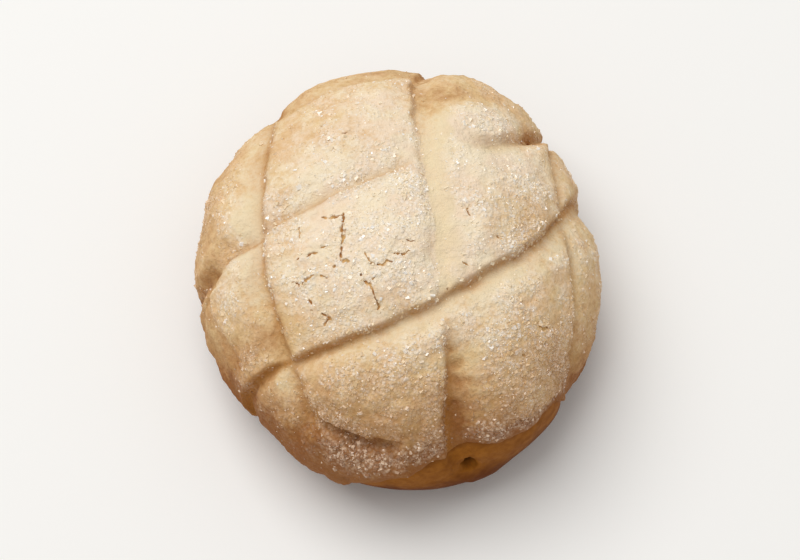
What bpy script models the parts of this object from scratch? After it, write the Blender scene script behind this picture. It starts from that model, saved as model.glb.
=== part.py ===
"""Melon pan, a Japanese sweet bun: a round bread bun under a cap of scored cookie dough.

Metres, +Z up. The bun stands on z = 0, with the middle of its box over the origin. The side
where the crust stops short and a band of bread shows faces -Y.

Both pieces start as a UV sphere whose rings are moved onto the bun's form. The crust's outer
face is cut along each score first, so that the grooves keep clean edges, and is then pressed in.
"""

import math
from dataclasses import dataclass

import bmesh
import bpy
import numpy as np
from mathutils import Vector, noise

MM = 0.001

# The whole bun
WIDTH = 100 * MM  # along X
DEPTH = 111 * MM  # along Y
HEIGHT = 52 * MM
GIRTH_HEIGHT = 17 * MM  # where the bun is widest
BASE_TUCK = 14 * MM  # how far the side comes in from the girth to the flat base
DOME_FULLNESS = 2.15  # 2 is an ellipse, and more gives squarer shoulders
OUTLINE_LOBES = ((2, 0.013, -45), (3, 0.0135, -55), (4, 0.0046, -10))  # count, share of radius, degrees
BOX_MIDDLE = (-0.58 * MM, 0.65 * MM)  # the uneven outline's middle, which is moved to the origin

# The crust over the bread
CROWN_THICKNESS = 4.5 * MM
RIM_THICKNESS = 3.2 * MM
RIM_STEP = 1.0 * MM  # the crust stands this far proud of the bread below it
RIM_SLANT = 1.2 * MM  # the rim's inner edge is this much higher than its outer edge
GAP = 0.5 * MM  # between crust and bread
RIM_HEIGHTS = (  # degrees round the bun from +X, height of the crust's lower edge
    (-180, 10 * MM),
    (-130, 10 * MM),
    (-107, 12 * MM),
    (-96, 21 * MM),
    (-88, 24 * MM),
    (-80, 27 * MM),
    (-71, 28 * MM),
    (-60, 26 * MM),
    (-46, 25 * MM),
    (-36, 13 * MM),
    (0, 10 * MM),
    (70, 12 * MM),
    (125, 9 * MM),
    (180, 10 * MM),
)

LUMP_HEIGHT = 0.5 * MM
LUMP_SPACING = 17 * MM
TILE_CROWN = 0.8 * MM  # how much a tile's middle stands above its edges
TILE_SHOULDER = 8 * MM  # how far in from a score the tile still rises
DEEPEST_SHARE = 0.7  # of the crust's thickness that a score may take

# Mesh
SEGMENTS = 54
OUTER_RINGS = 24
INNER_RINGS = 9
SIDE_RINGS = 7
EDGE_ROUND = 1.2 * MM  # radius of the crust's lower edge
END_OF_DEPTHS = 50 * MM  # distance along a score at which its end depths are reached
FADE = 5 * MM  # length over which a score that stops runs out
SUPPORT = 1.2 * MM  # distance from a score's wall to the edge that keeps the wall's top crisp
TINY_EDGE = 0.25 * MM


@dataclass
class Score:
    """One line pressed into the crust with a dough scraper.

    It lies in a plane that leans, and bends away from that plane by bow and skew. Across the line,
    one side is a steep wall and the other a floor and a ramp, towards ramp_side.
    """

    heading: float  # degrees from +X, the way that the line runs
    lean: float  # degrees from upright
    offset: float  # from the bun's axis, at REFERENCE_HEIGHT
    depths: tuple  # at the start, the middle and the end
    ramp_side: int
    bow: tuple = (0.0, 0.0)  # before the line's middle and after it
    skew: tuple = (0.0, 0.0)
    wall: float = 0.9 * MM
    floor: float = 0.3 * MM
    ramp: float = 3 * MM
    start: float = -1.0  # along the line; a score that doesn't stop runs past the rim
    end: float = 1.0
    lowest: float = 0.0  # the height below which it isn't pressed

    REFERENCE_HEIGHT = 40 * MM
    BEND_REACH = 40 * MM  # distance along the line at which bow and skew are reached
    BEND_END = 1.2  # in reaches; from there on the line runs straight

    def axes(self):
        turn, tilt = math.radians(self.heading), math.radians(self.lean)
        along = np.array([math.cos(turn), math.sin(turn), 0.0])
        across = np.array([-math.sin(turn), math.cos(turn), 0.0])
        normal = across * math.cos(tilt) + np.array([0.0, 0.0, math.sin(tilt)])
        return along, across, normal

    def bend(self, along_distance):
        """How far the line lies from its plane."""
        reach = along_distance / self.BEND_REACH
        bow, skew = (np.where(reach < 0, *pair) for pair in (self.bow, self.skew))
        held = np.clip(reach, -self.BEND_END, self.BEND_END)
        slope = 2 * bow * held + 3 * skew * held**2
        return bow * held**2 + skew * held**3 + slope * (reach - held)

    def measure(self, points):
        """Distance along the line and signed distance from it, for an (n, 3) array."""
        along, across, normal = self.axes()
        middle = across * self.offset + np.array([0.0, 0.0, self.REFERENCE_HEIGHT])
        t = points @ along
        return t, (points - middle) @ normal - self.bend(t)

    def present(self, points, t):
        """1 where the score is, falling to 0 past its ends."""
        run = ease((t - self.start) / FADE) * ease((self.end - t) / FADE)
        return run * ease((points[:, 2] - self.lowest) / FADE + 1)

    def pressed(self, points):
        """How deep the score presses each point in."""
        t, s = self.measure(points)
        first, middle, last = self.depths
        towards_end = ease(np.abs(t) / END_OF_DEPTHS)
        depth = middle + (np.where(t < 0, first, last) - middle) * towards_end
        depth = depth * self.present(points, t)
        s = s * self.ramp_side
        wall = 1 - ease(-s / self.wall)
        ramp = 1 - ease((s - self.floor) / self.ramp)
        return depth * np.where(s < 0, wall, ramp)

    def tile_edge(self, points):
        """1 on the line, falling to 0 where the tile has risen to its full height."""
        t, s = self.measure(points)
        return self.present(points, t) * np.exp(-((s / TILE_SHOULDER) ** 2))

    def cuts(self):
        """Distances from the line at which the crust's mesh needs an edge."""
        ramp_end = self.floor + self.ramp
        places = (-self.wall - SUPPORT, -self.wall, 0.0, ramp_end - 0.6 * self.ramp, ramp_end)
        return [place * self.ramp_side for place in places]


COLUMNS = (  # these run from the back, +Y, to the front
    Score(
        heading=-66,
        lean=0,
        offset=-48.4 * MM,
        bow=(23 * MM, 23 * MM),
        skew=(-24 * MM, -24 * MM),
        depths=(0.7 * MM, 0.7 * MM, 0.7 * MM),
        ramp_side=-1,
        start=-12 * MM,
        end=16 * MM,
        lowest=20 * MM,
    ),
    Score(
        heading=-86,
        lean=-6,
        offset=-34 * MM,
        bow=(7.9 * MM, 7.9 * MM),
        skew=(1.7 * MM, 1.7 * MM),
        depths=(1.1 * MM, 1.6 * MM, 1.9 * MM),
        ramp_side=-1,
        wall=1.5 * MM,
        ramp=5 * MM,
        end=47 * MM,
    ),
    Score(
        heading=-83,
        lean=17,
        offset=11.8 * MM,
        bow=(-4.5 * MM, -4.5 * MM),
        skew=(-2.4 * MM, -2.4 * MM),
        depths=(1.9 * MM, 1.2 * MM, 1.2 * MM),
        ramp_side=1,
        floor=2.2 * MM,
        ramp=3.5 * MM,
        end=25 * MM,
    ),
    Score(
        heading=-83,
        lean=17,
        offset=13.1 * MM,
        bow=(-2.9 * MM, -2.9 * MM),
        skew=(-2.2 * MM, -2.2 * MM),
        depths=(0.6 * MM, 0.6 * MM, 2.5 * MM),
        ramp_side=1,
        floor=2 * MM,
        ramp=5 * MM,
        start=23 * MM,
    ),
    Score(
        heading=-83,
        lean=-5,
        offset=41.3 * MM,
        bow=(1.2 * MM, 1.2 * MM),
        skew=(-4.8 * MM, -4.8 * MM),
        depths=(2.2 * MM, 1.4 * MM, 0.6 * MM),
        ramp_side=1,
        wall=1.3 * MM,
        end=42 * MM,
    ),
)
ROWS = (  # these run from left to right
    Score(
        heading=22,
        lean=-10,
        offset=43.3 * MM,
        bow=(-6 * MM, -6 * MM),
        skew=(0.9 * MM, 0.9 * MM),
        depths=(1.5 * MM, 1.5 * MM, 1.5 * MM),
        ramp_side=1,
        ramp=6 * MM,
        start=-20 * MM,
    ),
    Score(
        heading=24,
        lean=-24,
        offset=5.4 * MM,
        bow=(6 * MM, 6 * MM),
        skew=(1 * MM, 1 * MM),
        depths=(2.4 * MM, 1.0 * MM, 0.8 * MM),
        ramp_side=1,
        wall=1.0 * MM,
        ramp=5 * MM,
        end=10 * MM,
    ),
    Score(
        heading=24,
        lean=-24,
        offset=12.3 * MM,
        bow=(-31 * MM, -31 * MM),
        skew=(30.7 * MM, 30.7 * MM),
        depths=(0.6 * MM, 0.6 * MM, 2.4 * MM),
        ramp_side=-1,
        wall=2.0 * MM,
        ramp=4 * MM,
        start=17 * MM,
    ),
    Score(
        heading=33,
        lean=-8,
        offset=-25 * MM,
        bow=(10.4 * MM, -1.7 * MM),
        skew=(-0.6 * MM, 10.7 * MM),
        depths=(1.5 * MM, 1.9 * MM, 2.6 * MM),
        ramp_side=-1,
        wall=1.6 * MM,
        floor=0.6 * MM,
        ramp=4.5 * MM,
    ),
    Score(
        heading=6,
        lean=60,
        offset=-63.2 * MM,
        bow=(-2.7 * MM, -2.7 * MM),
        skew=(-27.5 * MM, -27.5 * MM),
        depths=(2.4 * MM, 1.8 * MM, 0.8 * MM),
        ramp_side=-1,
        floor=2 * MM,
        ramp=1.4 * MM,
        start=-25.5 * MM,
        end=-3 * MM,
        lowest=22 * MM,
    ),
)
SCORES = COLUMNS + ROWS


def ease(x):
    """A smooth step from 0 at x = 0 to 1 at x = 1."""
    x = np.clip(x, 0.0, 1.0)
    return x * x * (3 - 2 * x)


def girth_radius(azimuth):
    """The bun's radius at its widest, all round it."""
    a, b = WIDTH / 2, DEPTH / 2
    radius = a * b / np.hypot(b * np.cos(azimuth), a * np.sin(azimuth))
    lobes = sum(share * np.cos(n * (azimuth - math.radians(at))) for n, share, at in OUTLINE_LOBES)
    return radius * (1 + lobes)


def rim_height(azimuth):
    """The height of the crust's lower edge, eased from one listed place to the next."""
    places = np.radians([place for place, _ in RIM_HEIGHTS])
    heights = np.array([height for _, height in RIM_HEIGHTS])
    before = np.clip(np.searchsorted(places, azimuth, side="right") - 1, 0, len(places) - 2)
    between = (azimuth - places[before]) / (places[before + 1] - places[before])
    return heights[before] + (heights[before + 1] - heights[before]) * ease(between)


def turn_at_height(z):
    """The profile's own angle at a height: 0 at the crown, pi / 2 at the girth, pi at the base."""
    above = np.clip((z - GIRTH_HEIGHT) / (HEIGHT - GIRTH_HEIGHT), 0.0, 1.0)
    below = np.clip(1 - z / GIRTH_HEIGHT, 0.0, 1.0)
    upper = np.arccos(above ** (DOME_FULLNESS / 2))
    return np.where(z >= GIRTH_HEIGHT, upper, math.pi / 2 + np.arcsin(below))


def smooth_form(azimuth, turn):
    """Points on the bun's outer form, without its scores, for the profile angle turn."""
    radius = girth_radius(azimuth)
    upper = np.clip(turn, 0.0, math.pi / 2)
    lower = np.clip(turn - math.pi / 2, 0.0, math.pi / 2)
    above = turn <= math.pi / 2
    across = np.where(
        above,
        radius * np.sin(upper) ** (2 / DOME_FULLNESS),
        radius - BASE_TUCK * (1 - np.cos(lower)),
    )
    up = np.where(
        above,
        GIRTH_HEIGHT + (HEIGHT - GIRTH_HEIGHT) * np.abs(np.cos(upper)) ** (2 / DOME_FULLNESS),
        GIRTH_HEIGHT * (1 - np.sin(lower)),
    )
    return np.stack([across * np.cos(azimuth), across * np.sin(azimuth), up], axis=-1)


def turn_of(points):
    """The profile angle of points on or near the outer form, seen from the middle of the girth."""
    azimuth = np.arctan2(points[:, 1], points[:, 0])
    radius = girth_radius(azimuth)
    across = np.hypot(points[:, 0], points[:, 1])
    above = (points[:, 2] - GIRTH_HEIGHT) / (HEIGHT - GIRTH_HEIGHT)
    power = DOME_FULLNESS / 2
    upper = np.arctan2((across / radius) ** power, np.clip(above, 0, 1) ** power)
    inward = np.clip((across - radius + BASE_TUCK) / BASE_TUCK, 0, 1)
    lower = math.pi / 2 + np.arctan2(np.clip(1 - points[:, 2] / GIRTH_HEIGHT, 0, 1), inward)
    return azimuth, np.where(above >= 0, upper, lower)


def outward(azimuth, turn):
    """Unit normals of the outer form."""
    step = 1e-3
    turn = np.clip(turn, 2 * step, math.pi - 2 * step)
    round_it = smooth_form(azimuth + step, turn) - smooth_form(azimuth - step, turn)
    down_it = smooth_form(azimuth, turn + step) - smooth_form(azimuth, turn - step)
    normal = np.cross(down_it, round_it)
    return normal / np.linalg.norm(normal, axis=-1, keepdims=True)


def crust_thickness(share):
    """The crust's thickness, share of the way from the crown to the rim."""
    return CROWN_THICKNESS + (RIM_THICKNESS - CROWN_THICKNESS) * ease(share)


def together(amounts):
    """Overlapping grooves joined without getting deeper where they cross."""
    return np.sum(np.array(amounts) ** 4, axis=0) ** 0.25


def lumps(points):
    """The slow unevenness of hand-shaped dough."""
    return LUMP_HEIGHT * np.array([noise.noise(Vector(p) / LUMP_SPACING) for p in points])


def pressed_in(points, most):
    """How far the outer form is pressed in at each point, and no deeper than most."""
    groove = together([score.pressed(points) for score in SCORES])
    edge = TILE_CROWN * (together([score.tile_edge(points) for score in SCORES]) - 0.5)
    return np.minimum(groove + edge, most) + lumps(points)


def ring_sphere(ring_count):
    """A UV sphere as a bmesh, and each vertex's azimuth and ring, counted from the top."""
    bm = bmesh.new()
    bmesh.ops.create_uvsphere(bm, u_segments=SEGMENTS, v_segments=ring_count, radius=1.0)
    bm.verts.ensure_lookup_table()
    places = np.array([v.co for v in bm.verts])
    azimuth = np.arctan2(places[:, 1], places[:, 0])
    ring = np.round(np.arccos(np.clip(places[:, 2], -1, 1)) / math.pi * ring_count).astype(int)
    return bm, azimuth, ring


def put(bm, points):
    for vert, point in zip(bm.verts, points):
        vert.co = Vector(point)


def cut_along(bm, score, is_outer):
    """Adds edges to the crust's outer faces along one score, where the score is pressed in."""
    along, across, normal = score.axes()
    straighten = across / math.cos(math.radians(score.lean))
    points = np.array([v.co for v in bm.verts])
    t, _ = score.measure(points)
    put(bm, points - np.outer(score.bend(t), straighten))
    for distance in score.cuts():
        faces = [
            f for f in bm.faces
            if f[is_outer] and score.start <= f.calc_center_median().dot(along) <= score.end
        ]
        edges = {e for f in faces for e in f.edges}
        verts = {v for f in faces for v in f.verts}
        middle = across * score.offset + np.array([0.0, 0.0, score.REFERENCE_HEIGHT])
        bmesh.ops.bisect_plane(
            bm,
            geom=[*faces, *edges, *verts],
            dist=1e-5,
            plane_co=Vector(middle + normal * distance),
            plane_no=Vector(normal),
        )
    points = np.array([v.co for v in bm.verts])
    t, _ = score.measure(points)
    put(bm, points + np.outer(score.bend(t), straighten))


def crust_mesh():
    """A closed cap: the sphere's top half becomes the outer face, and its bottom half the inner."""
    slant = RIM_SLANT / (WIDTH / 2)
    edge_turn = EDGE_ROUND / (WIDTH / 2)
    shares = list(np.linspace(0, 1, OUTER_RINGS - 1))
    stations = [(share, 0.0, 0.0) for share in shares[:-1]]
    stations += [(1.0, -edge_turn, 0.0), (1.0, 0.0, 0.5 * EDGE_ROUND)]
    stations += [(1.0, -slant, None)]
    stations += [(share, -slant * share, None) for share in np.linspace(0.93, 0, INNER_RINGS)]
    bm, azimuth, ring = ring_sphere(len(stations) - 1)
    share = np.array([station[0] for station in stations])[ring]
    extra = np.array([station[1] for station in stations])[ring]
    inner = np.array([station[2] is None for station in stations])[ring]
    depth = np.array([station[2] or 0.0 for station in stations])[ring]
    depth = np.where(inner, crust_thickness(share), depth)
    turn = share * turn_at_height(rim_height(azimuth)) + extra
    bm.verts.ensure_lookup_table()
    put(bm, smooth_form(azimuth, turn) - outward(azimuth, turn) * depth[:, None])

    is_outer = bm.faces.layers.int.new("is_outer")
    rim_depth = bm.verts.layers.float.new("rim_depth")
    bm.verts.ensure_lookup_table()
    for face in bm.faces:
        face[is_outer] = int(not any(inner[v.index] for v in face.verts))
    for vert in bm.verts:
        vert[rim_depth] = depth[vert.index]
    for score in SCORES:
        cut_along(bm, score, is_outer)
    return bm, is_outer, rim_depth


def make_crust():
    bm, is_outer, rim_depth = crust_mesh()
    verts = [v for v in bm.verts if any(f[is_outer] for f in v.link_faces)]
    points = np.array([v.co for v in verts])
    azimuth, turn = turn_of(points)
    rounded = np.array([v[rim_depth] for v in verts])
    share = turn / turn_at_height(rim_height(azimuth))
    surface = smooth_form(azimuth, turn)
    depth = rounded + pressed_in(surface, DEEPEST_SHARE * crust_thickness(share))
    for vert, point in zip(verts, surface - outward(azimuth, turn) * depth[:, None]):
        vert.co = Vector(point)
    return finish("cookie_crust", bm, (0.76, 0.55, 0.32), 0.75)


def make_bread():
    """The bun under the crust, its bare lower side and its flat base."""
    slant = RIM_SLANT / (WIDTH / 2)
    clear = GAP / (WIDTH / 2)
    stations = [("core", share, -slant * share + clear) for share in np.linspace(0, 0.93, INNER_RINGS)]
    stations += [("core", 1.0, clear - slant), ("shoulder", 0.0, 2.2 * clear)]
    stations += [("side", share, clear) for share in np.linspace(0.1, 1, SIDE_RINGS)]
    stations += [("base", 0.5, 0.0), ("base", 1.0, 0.0)]
    bm, azimuth, ring = ring_sphere(len(stations) - 1)
    kind = np.array([station[0] for station in stations])[ring]
    share = np.array([station[1] for station in stations])[ring]
    extra = np.array([station[2] for station in stations])[ring]
    rim = turn_at_height(rim_height(azimuth))
    core = kind == "core"
    below = np.where(core, 0.0, share)
    turn = np.where(core, share * rim, rim + below * (math.pi - rim))
    turn = np.where(kind == "base", math.pi, np.minimum(turn + extra * (1 - below), math.pi))
    surface = smooth_form(azimuth, turn)
    bare = RIM_STEP + pressed_in(surface, DEEPEST_SHARE * RIM_THICKNESS)
    depth = np.where(core, crust_thickness(share) + GAP, bare * (1 - ease(below)))
    points = surface - outward(azimuth, turn) * depth[:, None]
    flat = kind == "base"
    points[flat] *= (1 - share[flat])[:, None]
    points[flat | (below >= 1), 2] = 0.0
    put(bm, points)
    return finish("bread", bm, (0.42, 0.20, 0.07), 0.55)


def material(name, colour, roughness):
    made = bpy.data.materials.new(name)
    made.use_nodes = True
    shader = made.node_tree.nodes["Principled BSDF"]
    shader.inputs["Base Color"].default_value = (*colour, 1.0)
    shader.inputs["Roughness"].default_value = roughness
    shader.inputs["Metallic"].default_value = 0.0
    return made


def finish(name, bm, colour, roughness):
    """Moves the piece so that the bun is centred, and makes its object."""
    bmesh.ops.translate(bm, verts=bm.verts, vec=Vector((-BOX_MIDDLE[0], -BOX_MIDDLE[1], 0)))
    bmesh.ops.triangulate(bm, faces=bm.faces)
    bmesh.ops.dissolve_degenerate(bm, edges=bm.edges, dist=TINY_EDGE)
    bmesh.ops.triangulate(bm, faces=bm.faces)
    bmesh.ops.recalc_face_normals(bm, faces=bm.faces)
    mesh = bpy.data.meshes.new(name)
    bm.to_mesh(mesh)
    bm.free()
    mesh.shade_smooth()
    mesh.materials.append(material(name, colour, roughness))
    return bpy.data.objects.new(name, mesh)


def main():
    for obj in list(bpy.data.objects):
        bpy.data.objects.remove(obj)
    collection = bpy.data.collections.new("melon_pan")
    bpy.context.scene.collection.children.link(collection)
    bun = bpy.data.objects.new("melon_pan", None)
    collection.objects.link(bun)
    for piece in (make_bread(), make_crust()):
        collection.objects.link(piece)
        piece.parent = bun


main()
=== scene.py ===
"""The looks of the melon pan: its sugared cookie crust, its bread, and the light it's seen in.

Metres, +Z up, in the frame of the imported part. The crust and the bread repeat the part's form with
finer relief. The form's own middle is at BOX_MIDDLE, and finish_mesh moves it to the origin. The
lists of scores, cracks, pits, dents and frost are in millimetres from the form's middle.
"""

import math
from dataclasses import dataclass

import bmesh
import bpy
import numpy as np
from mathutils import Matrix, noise

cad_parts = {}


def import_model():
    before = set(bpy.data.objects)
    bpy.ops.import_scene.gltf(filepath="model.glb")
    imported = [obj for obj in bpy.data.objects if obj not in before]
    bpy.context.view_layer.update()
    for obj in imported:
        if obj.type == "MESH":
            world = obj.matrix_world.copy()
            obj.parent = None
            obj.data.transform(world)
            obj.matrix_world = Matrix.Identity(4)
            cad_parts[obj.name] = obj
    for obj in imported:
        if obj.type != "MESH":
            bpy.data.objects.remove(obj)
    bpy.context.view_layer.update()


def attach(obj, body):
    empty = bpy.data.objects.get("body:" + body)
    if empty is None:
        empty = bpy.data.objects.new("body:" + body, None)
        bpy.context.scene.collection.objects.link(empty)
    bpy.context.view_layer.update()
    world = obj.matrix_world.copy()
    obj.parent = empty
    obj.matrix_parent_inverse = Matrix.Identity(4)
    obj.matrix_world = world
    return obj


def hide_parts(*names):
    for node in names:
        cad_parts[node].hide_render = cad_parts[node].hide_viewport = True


MM = 0.001

# The whole bun, as in the part
WIDTH = 100 * MM  # along X
DEPTH = 111 * MM  # along Y
HEIGHT = 52 * MM
GIRTH_HEIGHT = 17 * MM
BASE_TUCK = 14 * MM
DOME_FULLNESS = 2.15
OUTLINE_LOBES = ((2, 0.013, -45), (3, 0.0135, -55), (4, 0.0046, -10))  # count, share of radius, degrees
BOX_MIDDLE = (-0.58 * MM, 0.65 * MM)

# The crust
CROWN_THICKNESS = 4.5 * MM
RIM_THICKNESS = 3.2 * MM
RIM_STEP = 1.0 * MM  # from the crust's surface in to the bread's, at the rim
RIM_SLANT = 1.2 * MM
RIM_ROUND = 1.0 * MM
RIM_HEIGHTS = (  # degrees round the bun from +X, height of the crust's lower edge in millimetres
    (-180, 10), (-130, 10), (-107, 12), (-96, 21), (-88, 24), (-80, 27), (-71, 28), (-60, 26),
    (-46, 25), (-36, 13), (0, 10), (70, 12), (125, 9), (180, 10),
)
RIM_RAGGED = 0.9 * MM  # how far the rim wanders up and down
GAP = 0.3 * MM  # between crust and bread
DEEPEST_SHARE = 0.7  # of the crust's thickness that a score may reach

# The open bubble in the bread, at the front
HOLE_PLACE = (17.5 * MM, -53.2 * MM, 19.0 * MM)
HOLE_REACH = (3.0 * MM, 3 * MM, 2.9 * MM)
HOLE_DEPTH = 6 * MM

# Relief, from broad to fine: height and spacing
LUMP_HEIGHT, LUMP_SPACING = 0.5 * MM, 17 * MM
BUMP_HEIGHT, BUMP_SPACING = 0.35 * MM, 8 * MM
DIMPLE_HEIGHT, DIMPLE_SPACING = 0.45 * MM, 4.5 * MM
GRAIN_HEIGHT, GRAIN_SPACING = 0.32 * MM, 1.5 * MM
FROST_HEIGHT = 0.35 * MM  # how far thick sugar stands out
SCRAPED_FLAT = 0.55  # share of the dimples and grain that a scraper presses flat

# The scores
TILE_CROWN = 1.2 * MM  # how far the middle of a tile stands above its edges
TILE_SHOULDER = 7 * MM  # the width of a tile's rounded edge
WOBBLES = ((0.65 * MM, 6 * MM), (0.32 * MM, 1.8 * MM))  # sideways wander of the scores, and its spacing
WOBBLE_SEED = 4  # without one, noise_vector starts from the time and each run differs
END_OF_DEPTHS = 50 * MM  # distance from a score's middle at which its values for the ends hold
FOOT_WIDTH = 0.35 * MM  # of the brown line at the foot of a score's wall, baked colour with painted shade in the crease, besides the wall's own width
VALLEY_SHARPNESS = 3.0  # how much narrower a score's valley is than the slope it lies in
VALLEY_SHARE = 0.4  # of the ramp's rise that lies in the valley
BARE_START = 0.4 * MM  # over which the sugar stops at a score
BARE_FADE = 3 * MM  # over which it begins again
BARE_RAGGED = 0.6  # how much the width of the bare side varies
LOWEST_FADE = 5 * MM  # over which a score runs out towards its lowest height

# Cracks
CRACK_DEPTH = 0.4 * MM
CRACK_WIDENING = 0.64  # half a crack's width over its nominal width
CRACK_JITTER = 0.32 * MM
PIT_DEPTH = 1.4  # in radii

# Mesh
RIM_SEGMENTS = 512
OUTER_RINGS = 137
HALVING_SHARES = (0.36, 0.18, 0.09, 0.045)  # nearer the crown than each, a ring has half as many points
CURL_RINGS = 5  # round the rim's nose
INNER_SHARES = (0.95, 0.8, 0.55, 0.3, 0.0)  # rings inside the crust, each with half the last one's points
BREAD_SEGMENTS = 384
CORE_RINGS = 14
SIDE_RINGS = 55
BASE_SHARES = (0.15, 0.4, 0.7, 1.0)
SUPPORT = 0.5 * MM  # distance from a score's wall to the edge that keeps the wall's top crisp
CUT_REACH = 3 * MM  # how far beside a score's wall its edges are added
CUT_SNAP = 0.02 * MM  # a point this near a cut counts as lying on it
CRACK_REFINING = (1.6 * MM, 1.1 * MM, 0.8 * MM)  # nearer a crack than each, the mesh is halved

rng = np.random.default_rng(7)
noise.seed_set(WOBBLE_SEED)


def ease(x):
    """A smooth step from 0 at x = 0 to 1 at x = 1."""
    x = np.clip(x, 0.0, 1.0)
    return x * x * (3 - 2 * x)


def rise(value, start, width):
    """A smooth step from 0 at start to 1 at start + width."""
    return ease((value - start) / width)


def waves(points, spacing, seed=0.0):
    """Smooth noise from about -1 to 1 whose features are about one spacing apart."""
    return np.array([noise.noise(p) for p in (points / spacing + seed).tolist()])


def heading_vector(degrees):
    """The unit vector seen from above that has this heading from +X."""
    turn = math.radians(degrees)
    return np.array([math.cos(turn), math.sin(turn)])


def away_from(points, x, y):
    """Distance seen from above to a place in millimetres from the form's middle."""
    return np.hypot(points[:, 0] - x * MM, points[:, 1] - y * MM)


@dataclass
class Score:
    """One line pressed into the crust with a dough scraper.

    It lies in a plane that leans, and bends away from that plane by bow and skew. Across the line,
    one side is a steep wall and the other a floor and a ramp, towards ramp_side. Lengths are given in
    millimetres and kept in metres. A pair is for before the line's middle and after it, three numbers
    are for its start, middle and end, and a single number stands for all of them.
    """

    heading: float  # degrees from +X, the way that the line runs
    lean: float  # degrees from upright
    offset: float  # from the bun's axis, at REFERENCE_HEIGHT
    depths: float | tuple
    ramp_side: int
    bow: float | tuple = 0.0
    skew: float | tuple = 0.0
    wall: float = 0.9
    softness: float | tuple = 1.0  # how many times wider the wall gets
    floors: float | tuple = 0.3
    ramp: float | tuple = 3.0
    smooth: float | tuple = 2.0  # width of the side that has no sugar
    brown: float | tuple = 0.3  # how much browner the foot of the wall is: baked colour with painted shade in the crease
    start: float = -1000.0  # along the line; a score that doesn't stop runs past the rim
    end: float = 1000.0
    lowest: float = 0.0  # the height below which it isn't pressed
    fade: float = 5.0  # over which its ends run out

    REFERENCE_HEIGHT = 40 * MM
    BEND_REACH = 40 * MM  # distance along the line at which bow and skew are reached
    BEND_END = 1.2  # in reaches; from there on the line runs straight

    def __post_init__(self):
        for key in ("offset", "wall", "start", "end", "lowest", "fade"):
            setattr(self, key, getattr(self, key) * MM)
        for key in ("bow", "skew"):
            setattr(self, key, np.broadcast_to(getattr(self, key), 2) * MM)
        for key in ("depths", "floors", "ramp", "smooth"):
            setattr(self, key, np.broadcast_to(getattr(self, key), 3) * MM)
        self.softness = np.broadcast_to(self.softness, 3)
        self.brown = np.broadcast_to(self.brown, 3)

    def axes(self):
        """The line's own direction, the way across it seen from above, and its plane's normal."""
        tilt = math.radians(self.lean)
        x, y = heading_vector(self.heading)
        across = np.array([-y, x, 0.0])
        normal = across * math.cos(tilt) + np.array([0.0, 0.0, math.sin(tilt)])
        return np.array([x, y, 0.0]), across, normal

    def middle(self):
        """The point of its plane beside the bun's axis."""
        _, across, _ = self.axes()
        return across * self.offset + np.array([0.0, 0.0, self.REFERENCE_HEIGHT])

    def bend(self, along_distance):
        """How far the line lies from its plane."""
        reach = along_distance / self.BEND_REACH
        bow, skew = (np.where(reach < 0, *pair) for pair in (self.bow, self.skew))
        held = np.clip(reach, -self.BEND_END, self.BEND_END)
        slope = 2 * bow * held + 3 * skew * held**2
        return bow * held**2 + skew * held**3 + slope * (reach - held)

    def measure(self, points):
        """Distance along the line and distance from it, which is positive on the ramp's side."""
        along, _, normal = self.axes()
        t = points @ along
        return t, ((points - self.middle()) @ normal - self.bend(t)) * self.ramp_side

    def present(self, points, t):
        """1 where the score is, falling to 0 past its ends."""
        run = rise(t, self.start, self.fade) * ease((self.end - t) / self.fade)
        return run * ease((points[:, 2] - self.lowest) / LOWEST_FADE + 1)

    def along_it(self, ends, t):
        """A size that goes from its value at the start to those at the middle and the end."""
        first, middle, last = ends
        return middle + (np.where(t < 0, first, last) - middle) * ease(np.abs(t) / END_OF_DEPTHS)

    def pressed(self, points):
        """How deep the score presses each point in."""
        t, s = self.measure(points)
        depth = self.along_it(self.depths, t) * self.present(points, t)
        wall = 1 - ease(-s / (self.wall * self.along_it(self.softness, t)))
        beyond = (s - self.along_it(self.floors, t)) / self.along_it(self.ramp, t)
        ramp = 1 - (1 - VALLEY_SHARE) * ease(beyond) - VALLEY_SHARE * ease(beyond * VALLEY_SHARPNESS)
        return depth * np.where(s < 0, wall, ramp)

    def tile_edge(self, points):
        """1 on the line, falling to 0 where the tile has risen to its full height."""
        t, s = self.measure(points)
        return self.present(points, t) * np.exp(-((s / TILE_SHOULDER) ** 2))

    def bare(self, points):
        """1 on the smooth side of the line, where the scraper left no sugar."""
        t, s = self.measure(points)
        width = self.along_it(self.smooth, t) * (1 + BARE_RAGGED * waves(points, 4 * MM, seed=61.0))
        band = ease(s / BARE_START + 1) * (1 - ease((s - width) / BARE_FADE + 0.5))
        return self.present(points, t) * band

    def browned_and_shaded(self, points):
        """How much browner the foot of the wall is, baked colour with painted shade in the crease: a dark
        line in a wider, fainter band.
        """
        t, s = self.measure(points)
        line = np.exp(-(((s + 0.4 * self.wall) / (FOOT_WIDTH + 0.5 * self.wall)) ** 2))
        band = ease(1 + s / self.wall) * (1 - ease(s / (0.6 * self.along_it(self.ramp, t))))
        return self.present(points, t) * self.along_it(self.brown, t) * (0.75 * line + 0.25 * band)

    def cuts(self):
        """Distances from the line, along the plane's normal, at which the crust's mesh needs an edge."""
        places = (-self.wall - SUPPORT, -self.wall, -0.5 * self.wall, 0.0, 0.7 * MM)
        return [place * self.ramp_side for place in places]


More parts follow.
